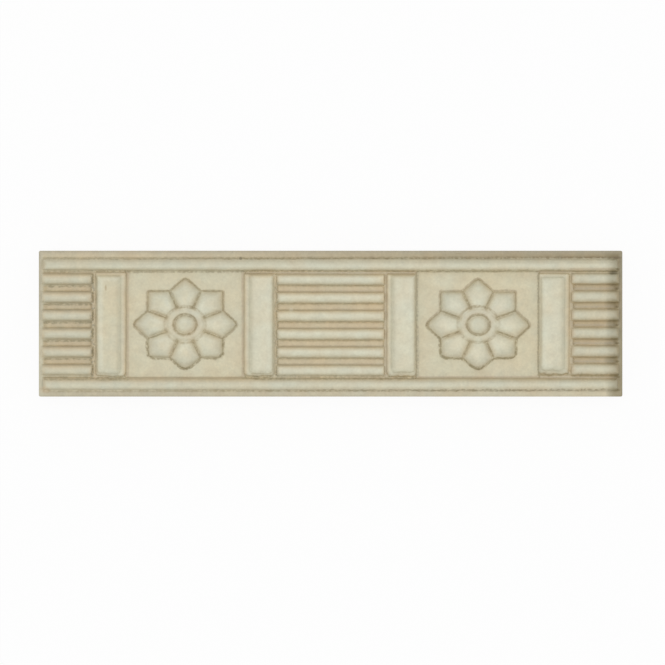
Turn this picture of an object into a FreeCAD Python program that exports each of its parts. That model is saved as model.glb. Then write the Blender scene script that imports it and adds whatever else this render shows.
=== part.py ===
"""A glazed ceramic border tile, one pressed and fired piece, lying on its back with its pattern up.

The pattern is a running border. Between two half-round rails, panels of six reeds take turns with panels
that hold an eight-petalled rosette, and a raised bar stands at each change of panel. The pattern repeats
twice in a tile. A reeded panel is shared by two tiles that meet, so each end has half of one.

Everything is in millimetres. X runs along the tile, Y across it and Z up out of its face. The origin is the
middle of the back, where the tile is bedded. The forms of the pattern are made about the pattern's own
middle, and then laid on the tile where the mould put them.
"""
import FreeCAD, Part
import math
import os

# The outline, and the level ground that the pattern stands on
tile_length = 152.0
tile_width = 38.0
ground_level = 7.0
corner_round = 0.5
face_arris = 0.3
back_arris = 0.4
back_draft = 0.6
square_edge = 2.5

# The plain margin round the pattern stands a little above the ground
margin_rise = 0.6
end_margin = 0.9
side_margin = 1.85

# How the pattern lies on the tile: to the right, downwards, and turned by a part of a degree
shift_right = 0.15
shift_down = 0.2
pattern_turn = 0.15
repeats = 2

# The mould was cut by hand. Each rosette, and each bar beside one, stands this far off its even place
rosette_strays = (0.0, 0.25)
bar_strays = (0.1, -0.15, -0.35, 0.2)

# Half-round rails along both long sides
rail_width = 2.85
rail_height = 2.1
rail_flat = 0.7

# Reeded panels, whose reeds lie between the rails and stop short of the bars, more so at the ends of the tile
reed_count = 6
reed_width = 2.6
reed_height = 1.7
reed_flat = 0.3
reed_to_rail = 1.15
reed_to_bar = 0.85
end_reed_to_bar = 1.3

# Bars: a block with an eased edge, and on it a crown that leaves a ledge along one side and one end
bar_width = 7.5
block_height = 1.5
block_round = 0.4
crown_rise = 1.0
crown_round = 0.9
crown_inset = 0.3
side_ledge = 1.15
end_ledge = 0.8

# Rosettes: two crossed squares cut into eight cushioned petals, with a ring and a boss in the middle
rosette_stretch = 1.128
rosette_to_field = 0.95
rosette_to_bar = 2.05
petal_count = 8
petal_gap = 0.35
petal_height = 1.7
petal_round = 2.1
petal_bed_rise = 0.5
petal_under_ring = 0.2
ring_radius = 4.5
ring_width = 1.9
ring_height = 1.65
ring_round = 0.6
boss_gap = 0.2
boss_height = 1.75
boss_round = 1.0

# Shallow recesses in the back, which key the tile to its adhesive
key_width = 5.0
key_depth = 0.8
key_draft = 0.5
key_land = 3.0
key_end_land = 7.0

# How far raised forms reach down into the body below the ground, so that they join it
rooted = 1.5

# Places that follow from the sizes above
face_level = ground_level + margin_rise
pattern_end = tile_length / 2 - end_margin
rail_y = tile_width / 2 - side_margin - rail_width / 2
field_half = rail_y - rail_width / 2 - reed_to_rail
tip_y = field_half - rosette_to_field
bar_x = rosette_stretch * tip_y + rosette_to_bar + bar_width / 2
half_repeat = tile_length / repeats / 2


def rectangle(x_low, x_high, y_low, y_high, z=0.0):
    """A level rectangle as a wire."""
    corners = [(x_low, y_low), (x_high, y_low), (x_high, y_high), (x_low, y_high)]
    return Part.makePolygon([FreeCAD.Vector(x, y, z) for x, y in corners + corners[:1]])


def edge_of_tile(inset, z):
    """The edge of the tile at one level as a wire with rounded corners, set in from its full size."""
    x = tile_length / 2 - inset - corner_round
    y = tile_width / 2 - inset - corner_round
    return rectangle(-x, x, -y, y, z).makeOffset2D(corner_round)


def ellipse(radius):
    """A level ellipse as a face, wider than it is high by the stretch of the rosette."""
    curve = Part.Ellipse(FreeCAD.Vector(0, 0, 0), radius * rosette_stretch, radius)
    return Part.Face(Part.Wire(curve.toShape()))


def raised(outline, height, rounding):
    """A solid on a level face, from its root in the body to its height above the ground, its top rounded."""
    solid = outline.extrude(FreeCAD.Vector(0, 0, rooted + height))
    solid.translate(FreeCAD.Vector(0, 0, ground_level - rooted))
    top = ground_level + height
    top_edges = [edge for edge in solid.Edges if abs(edge.CenterOfMass.z - top) < 1e-6]
    return solid.makeFillet(rounding, top_edges)


def loaf(x_low, x_high, y, width, height, flat):
    """A half-round moulding along X with rounded ends, whose crest keeps a narrow flat."""
    outline = Part.Face(rectangle(x_low, x_high, y - width / 2, y + width / 2))
    return raised(outline, height, (width - flat) / 2)


def key_recess(y):
    """One long shallow recess for the back, narrower at its floor than at its mouth."""
    x_mouth = tile_length / 2 - key_end_land
    y_mouth = key_width / 2
    mouth = rectangle(-x_mouth, x_mouth, y - y_mouth, y + y_mouth)
    x_floor = x_mouth - key_draft
    y_floor = y_mouth - key_draft
    floor = rectangle(-x_floor, x_floor, y - y_floor, y + y_floor, key_depth)
    return Part.makeLoft([mouth, floor], True, True)


def key_rows():
    """The places of the recesses, an even number of them, so that a land runs along the middle."""
    pitch = key_width + key_land
    pairs = int((tile_width / 2 - back_draft - key_land / 2) // pitch)
    return [side * (n + 0.5) * pitch for n in range(pairs) for side in (-1, 1)]


def slab():
    """The body of the tile, square at the face and drawn in towards the back, which has the recesses."""
    waist = face_level - square_edge
    rim = Part.Face(edge_of_tile(0, waist)).extrude(FreeCAD.Vector(0, 0, square_edge))
    face_edges = [edge for edge in rim.Edges if abs(edge.CenterOfMass.z - face_level) < 1e-6]
    rim = rim.makeFillet(face_arris, face_edges)
    back = edge_of_tile(back_draft + back_arris, 0)
    levels = [back, edge_of_tile(back_draft, back_arris), edge_of_tile(0, waist)]
    body = Part.makeLoft(levels, True, True).fuse(rim)
    for y in key_rows():
        body = body.cut(key_recess(y))
    return body


def sunk_field():
    """The space over the ground, between the margins, that is pressed down into the face."""
    field = Part.Face(rectangle(-pattern_end, pattern_end, -rail_y, rail_y, ground_level))
    return field.extrude(FreeCAD.Vector(0, 0, 2 * margin_rise))


def rails():
    """The two rails that run the length of the pattern."""
    return [loaf(-pattern_end, pattern_end, side * rail_y, rail_width, rail_height, rail_flat)
            for side in (1, -1)]


def rosette_places():
    """Where the middles of the rosettes lie along the pattern, one in each repeat."""
    even = [(2 * n + 1 - repeats) * half_repeat for n in range(repeats)]
    return [x + rosette_strays[n % len(rosette_strays)] for n, x in enumerate(even)]


def bar_places():
    """Where the middles of the bars lie along the pattern, one on each side of each rosette."""
    even = [x + side * bar_x for x in rosette_places() for side in (-1, 1)]
    return [x + bar_strays[n % len(bar_strays)] for n, x in enumerate(even)]


def reeded_panel(x_low, x_high):
    """One panel of reeds, evenly spaced between the rails."""
    pitch = (2 * field_half - reed_width) / (reed_count - 1)
    rows = [(n - (reed_count - 1) / 2) * pitch for n in range(reed_count)]
    return [loaf(x_low, x_high, y, reed_width, reed_height, reed_flat) for y in rows]


def reeded_panels():
    """The reeded panels between the rosettes, and the half panels at the ends of the tile."""
    stops = [-pattern_end]
    for n, x in enumerate(bar_places()):
        is_outermost = n in (0, 2 * repeats - 1)
        reach = bar_width / 2 + (end_reed_to_bar if is_outermost else reed_to_bar)
        stops.append(x - reach if n % 2 == 0 else x + reach)
    stops.append(pattern_end)
    return [reed for low, high in zip(stops[::2], stops[1::2]) for reed in reeded_panel(low, high)]


def bar(x, ledge_side):
    """A raised bar, whose ledge is on its right for a ledge_side of 1 and on its left for -1."""
    half = bar_width / 2
    block = raised(Part.Face(rectangle(-half, half, -field_half, field_half)), block_height, block_round)
    x_low, x_high = sorted([-ledge_side * (half - crown_inset), ledge_side * (half - side_ledge)])
    crown_outline = Part.Face(rectangle(x_low, x_high, crown_inset - field_half, field_half - end_ledge))
    whole = block.fuse(raised(crown_outline, block_height + crown_rise, crown_round))
    whole.translate(FreeCAD.Vector(x, 0, 0))
    return whole


def bars():
    """All the bars. Their ledges face the first rosette, turn away from the next, and so on in turn."""
    facing_in = (1, -1)
    facing_out = (-1, 1)
    sides = (facing_in + facing_out) * repeats
    return [bar(x, ledge_side) for x, ledge_side in zip(bar_places(), sides)]


def petal(turn):
    """One cushioned petal of the star that two crossed squares make, turned from the first by turn."""
    slant = math.pi / petal_count
    half_side = tip_y * math.cos(2 * slant)
    notch = half_side * math.tan(slant)
    inner = ring_radius - petal_under_ring
    inner_x, inner_y = inner * math.sin(slant), inner * math.cos(slant)
    corners = [(0, tip_y), (notch, half_side), (inner_x, inner_y), (-inner_x, inner_y), (-notch, half_side)]
    cos_turn, sin_turn = math.cos(turn), math.sin(turn)
    points = [FreeCAD.Vector(rosette_stretch * (x * cos_turn - y * sin_turn), x * sin_turn + y * cos_turn, 0)
              for x, y in corners + corners[:1]]
    outline = Part.Face(Part.makePolygon(points).makeOffset2D(-petal_gap / 2, join=2))
    return raised(outline, petal_height, min(petal_round, (tip_y - inner) / 3))


def rosette(x):
    """Eight petals round a ring and a boss, on a low bed that closes the gaps between them."""
    pieces = [petal(2 * math.pi * n / petal_count) for n in range(petal_count)]
    bed = ellipse(tip_y * math.cos(2 * math.pi / petal_count))
    bed = bed.extrude(FreeCAD.Vector(0, 0, rooted + petal_bed_rise))
    bed.translate(FreeCAD.Vector(0, 0, ground_level - rooted))
    ring_inner = ring_radius - ring_width
    ring = raised(ellipse(ring_radius).cut(ellipse(ring_inner)), ring_height, ring_round)
    boss = raised(ellipse(ring_inner - boss_gap), boss_height, boss_round)
    pieces += [bed, ring, boss]
    for piece in pieces:
        piece.translate(FreeCAD.Vector(x, 0, 0))
    return pieces


def laid_on_tile(form):
    """A form of the pattern, taken from the pattern's own middle to where it lies on the tile."""
    form.rotate(FreeCAD.Vector(0, 0, 0), FreeCAD.Vector(0, 0, 1), pattern_turn)
    form.translate(FreeCAD.Vector(shift_right, -shift_down, 0))
    return form


def border_tile():
    """The whole tile as one solid."""
    relief = rails() + reeded_panels() + bars() + [piece for x in rosette_places() for piece in rosette(x)]
    body = slab().cut(laid_on_tile(sunk_field()))
    return body.multiFuse([laid_on_tile(form) for form in relief]).removeSplitter()


os.makedirs("parts", exist_ok=True)
border_tile().exportStep("parts/border_tile.step")
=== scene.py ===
"""Dresses the glazed ceramic border tile: one pressed, fired and glazed piece, seen from above.

The forms of the pattern are modelled one by one at their real size, pressed together into one skin, roughened
as clay and crawled glaze are, and glazed by a material that reads where each point lies in the pattern.
"""
import logging
import math
from collections.abc import Callable
from dataclasses import dataclass, field
from enum import Enum

import bpy
import numpy as np
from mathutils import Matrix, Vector


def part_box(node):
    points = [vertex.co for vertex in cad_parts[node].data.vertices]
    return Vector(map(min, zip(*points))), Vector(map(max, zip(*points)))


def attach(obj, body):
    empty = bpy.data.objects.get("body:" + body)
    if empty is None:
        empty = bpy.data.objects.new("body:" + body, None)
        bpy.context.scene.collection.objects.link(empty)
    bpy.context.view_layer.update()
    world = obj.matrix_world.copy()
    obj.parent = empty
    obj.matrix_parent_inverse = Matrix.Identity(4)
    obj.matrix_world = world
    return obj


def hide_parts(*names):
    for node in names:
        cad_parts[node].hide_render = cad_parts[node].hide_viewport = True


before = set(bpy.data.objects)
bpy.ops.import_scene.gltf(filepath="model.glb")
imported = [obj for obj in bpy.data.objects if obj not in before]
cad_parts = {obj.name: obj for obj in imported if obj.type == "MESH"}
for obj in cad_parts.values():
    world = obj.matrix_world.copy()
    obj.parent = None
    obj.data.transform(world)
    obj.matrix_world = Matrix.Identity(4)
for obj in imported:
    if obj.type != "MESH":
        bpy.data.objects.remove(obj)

Piece = bpy.types.Object
Pair = tuple[float, float]
Triple = tuple[float, float, float]
Reading = dict[str, np.ndarray]

MM = 0.001
CAD_NODE = "border_tile"
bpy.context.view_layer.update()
UP, DOWN = (0, 0, 1), (0, 0, -1)
NOWHERE = (0, 0, 0)
WHITE = (1, 1, 1, 1)
FAR = 9.0
TINY = 0.001
ALIGNED = 0.99
CORNER_STEPS = 4
FIELDS = ("rim", "line", "crawl", "line_crawl", "stain", "pool", "margin", "inland", "pale_tone_and_highlight")
log = logging.getLogger("border_tile")


class Side(Enum):
    """A side of a bar, by the direction in X that it faces."""

    LEFT = -1
    RIGHT = 1


class Feel(Enum):
    """How the glaze broke on an edge: crisp, a little broken, crawled, or crawled into fine grey grains."""

    CRISP = -1.0
    BROKEN = 0.3
    CRAWLED = 1.0
    GRAINY = 2.0


@dataclass(frozen=True)
class Brim:
    """How the glaze lies along one side of a form.

    Attributes:
        feel: How it broke there.
        out: How far out from the side the middle of the brown line at its foot is, in millimetres.
        half: Half the width of that line, in millimetres.
        stain: How dark that line is, from 0 to 1.
    """

    feel: Feel
    out: float
    half: float
    stain: float = 1.0


CLEAN = Brim(Feel.CRISP, 0.0, 1.0, 0.0)
CRISP = Brim(Feel.CRISP, 0.13, 0.42)
TOP_GAP = Brim(Feel.CRISP, 0.30, 0.60)
LOW_GAP = Brim(Feel.CRAWLED, 0.38, 0.75, 0.6)
RAIL_TOP = Brim(Feel.BROKEN, 0.15, 0.46, 0.9)
RAIL_LOWER = Brim(Feel.CRAWLED, 0.14, 0.46, 0.65)
RAIL_FOOT = Brim(Feel.CRAWLED, 0.14, 0.46, 0.6)
REED_RAGGED = Brim(Feel.CRAWLED, 0.08, 0.42, 0.75)
REED_FOOT = Brim(Feel.CRAWLED, 0.12, 0.44, 0.35)
REED_CLEAN_FOOT = Brim(Feel.CRAWLED, 0.12, 0.40, 0.1)
WIDE_GAP = Brim(Feel.CRISP, 0.60, 0.90, 0.6)
NARROW_GAP = Brim(Feel.CRISP, 0.42, 0.60)
PALE_GAP = Brim(Feel.CRISP, 0.42, 0.60, 0.3)
FAINT_END = Brim(Feel.CRISP, 0.30, 0.45, 0.1)
BAR_LEDGE = Brim(Feel.CRISP, 0.35, 0.55)
BAR_END_GAP = Brim(Feel.CRISP, 0.55, 0.80, 0.9)
BAR_FLANK = Brim(Feel.GRAINY, 0.22, 0.60, 0.35)
BAR_SHARP = Brim(Feel.GRAINY, 0.05, 0.42, 0.35)
BAR_WIDE_GAP = Brim(Feel.GRAINY, 0.65, 0.85, 0.5)
BAR_NARROW_GAP = Brim(Feel.GRAINY, 0.40, 0.80, 0.35)
PETAL_CRISP = Brim(Feel.CRISP, 0.17, 0.42)
PETAL_CRAWLED = Brim(Feel.CRAWLED, 0.20, 0.42)


@dataclass(frozen=True)
class Plan:
    """The layout of the tile, in millimetres, as its maker's drawing has it.

    The overall size comes from the frame, and every place from the sizes below. Places in the pattern are
    counted from the pattern's own middle, and the pattern lies on the tile a little aside and askew.
    """

    length: float
    width: float
    ground: float = 7.0
    margin_rise: float = 0.6
    end_margin: float = 0.9
    right_trim: float = 0.5
    side_margin: float = 1.85
    shift: Pair = (0.15, -0.2)
    turn: float = 0.15
    rosette_strays: Pair = (0.0, 0.25)
    rosette_drops: Pair = (0.0, 0.12)
    bar_strays: tuple[float, ...] = (0.1, -0.15, -0.35, 0.2)
    rail_width: float = 2.85
    reed_count: int = 6
    reed_width: float = 2.6
    reed_to_rail: float = 1.15
    reed_to_bar: float = 0.85
    end_reed_to_bar: float = 1.3
    bar_width: float = 7.5
    rosette_stretch: float = 1.128
    rosette_to_field: float = 0.95
    rosette_to_bar: float = 2.05
    rooted: float = 1.5

    @property
    def root(self) -> float:
        """The level inside the body that every form of the relief reaches down to."""
        return self.ground - self.rooted

    @property
    def pattern_end(self) -> float:
        """Where the pattern stops, from its middle."""
        return self.length / 2 - self.end_margin

    @property
    def rail_y(self) -> float:
        """The middle of a rail, from the middle of the pattern."""
        return self.width / 2 - self.side_margin - self.rail_width / 2

    @property
    def field_edge(self) -> float:
        """The inner edge of a rail, from the middle of the pattern."""
        return self.rail_y - self.rail_width / 2

    @property
    def field_half(self) -> float:
        """Half the height of the reeded panels and bars."""
        return self.field_edge - self.reed_to_rail

    @property
    def tip_y(self) -> float:
        """How far the upper petal of a rosette reaches from its middle."""
        return self.field_half - self.rosette_to_field

    @property
    def rosette_places(self) -> list[Pair]:
        """The middles of the two rosettes in the pattern."""
        return [(side * self.length / 4 + stray, -drop)
                for side, stray, drop in zip((-1, 1), self.rosette_strays, self.rosette_drops)]

    @property
    def bar_places(self) -> list[float]:
        """The middles of the four bars along the pattern.

        Returns:
            Their places, from left to right.
        """
        reach = self.rosette_stretch * self.tip_y + self.rosette_to_bar + self.bar_width / 2
        even = [x + side * reach for x, _ in self.rosette_places for side in (-1, 1)]
        return [x + stray for x, stray in zip(even, self.bar_strays)]

    @property
    def reed_rows(self) -> list[float]:
        """The middles of the reeds across the pattern."""
        pitch = (2 * self.field_half - self.reed_width) / (self.reed_count - 1)
        return [(n - (self.reed_count - 1) / 2) * pitch for n in range(self.reed_count)]

    @property
    def panels(self) -> list[Pair]:
        """Where each reeded panel starts and stops along the pattern, from bar to bar.

        Returns:
            The starts and stops, from left to right.
        """
        half = self.bar_width / 2
        first, second, third, fourth = self.bar_places
        return [(-self.pattern_end, first - half), (second + half, third - half),
                (fourth + half, self.pattern_end)]

    @property
    def reed_spans(self) -> list[Pair]:
        """Where the reeds of each panel start and stop along the pattern."""
        (start, first), (second, third), (fourth, stop) = self.panels
        return [(start, first - self.end_reed_to_bar), (second + self.reed_to_bar, third - self.reed_to_bar),
                (fourth + self.end_reed_to_bar, stop)]

    def seen_from_pattern(self, points: np.ndarray) -> np.ndarray:
        """Takes places on the tile to places in the pattern.

        Args:
            points: Places on the tile in millimetres, one row each.

        Returns:
            The same places, counted from the middle of the pattern and along it.
        """
        turn = math.radians(self.turn)
        x, y = (points - np.array(self.shift)).T
        return np.column_stack((x * math.cos(turn) + y * math.sin(turn),
                                y * math.cos(turn) - x * math.sin(turn)))

    def lay(self, piece: Piece) -> Piece:
        """Moves a form from its place in the pattern to where that lies on the tile.

        Args:
            piece: The form.

        Returns:
            The same form.
        """
        work_on(piece)
        bpy.ops.transform.rotate(value=math.radians(self.turn), orient_axis="Z", center_override=NOWHERE)
        bpy.ops.transform.translate(value=(self.shift[0] * MM, self.shift[1] * MM, 0))
        return settle(piece)


def deselect_all() -> None:
    """Leaves nothing selected, since the frame comes in selected."""
    if bpy.context.object and bpy.context.object.mode != "OBJECT":
        bpy.ops.object.mode_set(mode="OBJECT")
    bpy.ops.object.select_all(action="DESELECT")


def work_on(piece: Piece) -> None:
    """Makes one object the only one selected, and the active one.

    Args:
        piece: The object.
    """
    deselect_all()
    piece.select_set(True)
    bpy.context.view_layer.objects.active = piece


def settle(piece: Piece) -> Piece:
    """Moves an object's place, turn and scale into its mesh.

    Args:
        piece: The object.

    Returns:
        The same object, at the origin.
    """
    work_on(piece)
    bpy.ops.object.transform_apply(location=True, rotation=True, scale=True)
    return piece


def apply_modifier(piece: Piece, kind: str, **settings: object) -> None:
    """Adds a modifier to an object and applies it.

    Args:
        piece: The object.
        kind: The modifier's type.
        settings: Its settings, by name.
    """
    work_on(piece)
    modifier = piece.modifiers.new(kind.title(), kind)
    for key, value in settings.items():
        setattr(modifier, key, value)
    bpy.ops.object.modifier_apply(modifier=modifier.name)


def box(name: str, low: Triple, high: Triple) -> Piece:
    """A box between two corners in millimetres, left in edit mode with nothing selected.

    Args:
        name: The name of the object.
        low: Its lowest corner.
        high: Its highest corner.

    Returns:
        The box, with its place in its mesh.
    """
    deselect_all()
    centre = [(a + b) / 2 * MM for a, b in zip(low, high)]
    bpy.ops.mesh.primitive_cube_add(size=1, location=centre, scale=[(b - a) * MM for a, b in zip(low, high)])
    piece = settle(bpy.context.object)
    piece.name = name
    bpy.ops.object.mode_set(mode="EDIT")
    bpy.ops.mesh.select_all(action="DESELECT")
    return piece


def select_where(piece: Piece, kind: str, chosen: Callable[[object], bool]) -> None:
    """Selects parts of an object that is in edit mode, and leaves it in edit mode.

    Args:
        piece: The object.
        kind: The parts to choose from: FACE, EDGE or VERT.
        chosen: Says of one such part whether it is selected.
    """
    bpy.ops.mesh.select_mode(type=kind)
    bpy.ops.mesh.select_all(action="DESELECT")
    bpy.ops.object.mode_set(mode="OBJECT")
    mesh = piece.data
    for part in {"FACE": mesh.polygons, "EDGE": mesh.edges, "VERT": mesh.vertices}[kind]:
        part.select = chosen(part)
    bpy.ops.object.mode_set(mode="EDIT")


def select_faces(piece: Piece, way: Triple) -> None:
    """Selects the faces that look one way."""
    select_where(piece, "FACE", lambda face: face.normal.dot(Vector(way)) > ALIGNED)


def ease_corners(piece: Piece, radius: float, chosen: Callable[[Vector], bool]) -> None:
    """Rounds the corners of a block as seen from above, from its foot up to its top.

    Args:
        piece: The block, in edit mode, where it stays.
        radius: The radius of the rounding, in millimetres.
        chosen: Says of the middle of an edge that climbs, in millimetres, whether it is rounded.
    """
    def climbs_there(edge: bpy.types.MeshEdge) -> bool:
        """Whether an edge climbs and is a chosen one."""
        low, high = (piece.data.vertices[number].co / MM for number in edge.vertices)
        return abs(low.z - high.z) > TINY and chosen((low + high) / 2)

    select_where(piece, "EDGE", climbs_there)
    bpy.ops.mesh.bevel(offset=radius * MM, segments=CORNER_STEPS, affect="EDGES", clamp_overlap=True)


def sweep(inward: float, upward: float, steps: int, lean: Pair = (0.0, 0.0),
          steep_first: bool = True) -> None:
    """Rounds what is selected, by insets along a quarter of an ellipse.

    Args:
        inward: How far the rounding reaches in from the side, in millimetres.
        upward: How far it climbs, in millimetres, or falls where that is less than nothing.
        steps: The number of insets.
        lean: How far its top ends up to the side of where it would be, along X and along Y, in millimetres.
        steep_first: Whether it starts steep and ends level, and not the other way round.
    """
    across, up = (math.cos, math.sin) if steep_first else (math.sin, math.cos)
    for step in range(steps):
        start, end = (math.pi / 2 * (step + n) / steps for n in (0, 1))
        thickness = inward * abs(across(end) - across(start))
        depth = upward * abs(up(end) - up(start))
        bpy.ops.mesh.inset(thickness=thickness * MM, depth=depth * MM, use_even_offset=True)
        if any(lean):
            bpy.ops.transform.translate(value=(lean[0] / steps * MM, lean[1] / steps * MM, 0))


def crown(piece: Piece, inward: float, upward: float, steps: int, lean: Pair = (0.0, 0.0)) -> None:
    """Rounds the top of a block in edit mode into a cushion, as a sweep does."""
    select_faces(piece, UP)
    sweep(inward, upward, steps, lean)


def join(pieces: list[Piece], name: str) -> Piece:
    """Joins objects into one.

    Args:
        pieces: The objects.
        name: The name of the one that they become.

    Returns:
        The joined object.
    """
    work_on(pieces[0])
    for piece in pieces:
        piece.select_set(True)
    if len(pieces) > 1:
        bpy.ops.object.join()
    pieces[0].name = name
    return pieces[0]


def copy_of(piece: Piece) -> Piece:
    """Copies an object with its mesh, and makes the copy the active object.

    Args:
        piece: The object.

    Returns:
        The copy.
    """
    work_on(piece)
    bpy.ops.object.duplicate(linked=False)
    return bpy.context.object


def moved_copy(piece: Piece, x: float, y: float) -> Piece:
    """A copy of an object, moved in the plane of the tile.

    Args:
        piece: The object.
        x: How far along X, in millimetres.
        y: How far along Y.

    Returns:
        The copy, with a mesh of its own.
    """
    made = copy_of(piece)
    bpy.ops.transform.translate(value=(x * MM, y * MM, 0))
    return settle(made)


def share(value: np.ndarray, start: float, reach: float) -> np.ndarray:
    """A share that grows from 0 where a value is at its start to 1 where it is a reach beyond that."""
    return np.clip((value - start) / reach, 0, 1)


@dataclass
class Edge:
    """The edge of one form where it meets the ground, as points see it from above.

    Attributes:
        distance: How far each point is outside the edge, in millimetres, and less than nothing inside it.
        line: How far it is from the middle of the brown line there, in half widths of that line.
        feel: How far the glaze has crawled on the nearest stretch of the edge, from -1 to 2.
        stain: How dark the brown line at that stretch is.
    """

    distance: np.ndarray
    line: np.ndarray
    feel: np.ndarray
    stain: np.ndarray


def edge_along(distance: np.ndarray, brims: tuple[Brim, ...], number: np.ndarray) -> Edge:
    """Reads an edge whose sides are glazed in different ways.

    Args:
        distance: How far each point is outside the edge, in millimetres.
        brims: How the glaze lies along each side.
        number: Which of them is the side nearest to each point.

    Returns:
        The edge.
    """
    values = np.array([(brim.out, brim.half, brim.feel.value, brim.stain) for brim in brims])
    out, half, feel, stain = values[number].T
    return Edge(distance, np.where(stain > 0, (distance - out) / half, FAR), feel, stain)


def edge_of_box(points: np.ndarray, middle: Pair, half: Pair, brims: tuple[Brim, ...]) -> Edge:
    """Reads points in the pattern against an upright rectangle.

    Args:
        points: The points, one row each.
        middle: The middle of the rectangle.
        half: Half its width and half its height.
        brims: How the glaze lies along its left, right, lower and upper sides.

    Returns:
        The edge of the rectangle.
    """
    offset = points - np.array(middle)
    beyond = np.abs(offset) - np.array(half)
    distance = np.linalg.norm(np.maximum(beyond, 0), axis=1) + np.minimum(beyond.max(axis=1), 0)
    is_side = beyond[:, 0] > beyond[:, 1]
    return edge_along(distance, brims, np.where(is_side, (offset[:, 0] > 0) * 1, 2 + (offset[:, 1] > 0) * 1))


def depth_in_box(points: np.ndarray, low: Pair, high: Pair) -> np.ndarray:
    """How deep points lie inside an upright rectangle between two corners, less than nothing outside it."""
    return np.minimum(points - np.array(low), np.array(high) - points).min(axis=1)


class Form:
    """One kind of form in the relief, which by itself adds nothing to the reading of the pattern."""

    def edges(self, points: np.ndarray) -> list[Edge]:
        """The edges of this kind of form, as points in the pattern see them."""
        return []

    def tone_and_painted_light(self, points: np.ndarray) -> np.ndarray:
        """How much paler points are painted, for glaze tone and as painted highlight and shade. Less than
        nothing is darker.
        """
        return np.zeros(len(points))

    def lumps(self, points: np.ndarray) -> np.ndarray:
        """How lumpy the clay is at points, from 0 to 1, where it tore as it left the mould."""
        return np.zeros(len(points))


@dataclass
class Rails(Form):
    """The two half-round rails along the tile. Where there are two sizes, the upper rail's comes first."""

    plan: Plan
    height: float = 2.05
    upright: float = 0.7
    flat: float = 0.5
    lean: float = 0.2
    feet: Pair = (0.33, 0.28)
    lower_raised: float = 0.35
    # Painted shade on each rail from a little below its middle upwards, leaving a painted highlight below it
    crest_offset: float = -0.5
    crest_fade: float = 0.7
    dullness: float = 0.4
    shadows: Pair = (1.3, 1.0)
    steps: int = 7
    brims: tuple[tuple[Brim, ...], ...] = (
        (CLEAN, CLEAN, RAIL_LOWER, RAIL_TOP), (CLEAN, CLEAN, RAIL_FOOT, CRISP))

    @property
    def rows(self) -> list[Pair]:
        """The middle of each rail across the pattern, and how far its foot reaches out below it."""
        return list(zip((self.plan.rail_y, self.lower_raised - self.plan.rail_y), self.feet))

    def build(self) -> list[Piece]:
        """Models both rails.

        Returns:
            The rails.
        """
        made = []
        half = self.plan.rail_width / 2
        for y, foot in self.rows:
            low = (-self.plan.pattern_end, y - half - foot, self.plan.root)
            high = (self.plan.pattern_end - self.plan.right_trim, y + half, self.plan.ground + self.upright)
            piece = box("rail", low, high)
            crown(piece, half - self.flat / 2, self.height - self.upright, self.steps, (0, -self.lean))
            made.append(piece)
        return made

    def edges(self, points: np.ndarray) -> list[Edge]:
        """The edges of both rails."""
        end, width = self.plan.pattern_end, self.plan.rail_width
        return [edge_of_box(points, (0, y - foot / 2), (end, (width + foot) / 2), brims)
                for (y, foot), brims in zip(self.rows, self.brims)]

    def tone_and_painted_light(self, points: np.ndarray) -> np.ndarray:
        """Paints shade on the upper part of each rail, which leaves a paler painted highlight below its
        middle.

        Args:
            points: The points in the pattern, one row each.

        Returns:
            How much paler each of them is painted.
        """
        made = np.zeros(len(points))
        for (y, _), shadow in zip(self.rows, self.shadows):
            above = points[:, 1] - y
            on_rail = np.abs(above) < self.plan.rail_width / 2
            made -= on_rail * (share(above, self.crest_offset, self.crest_fade) * shadow + self.dullness)
        return made


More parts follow.
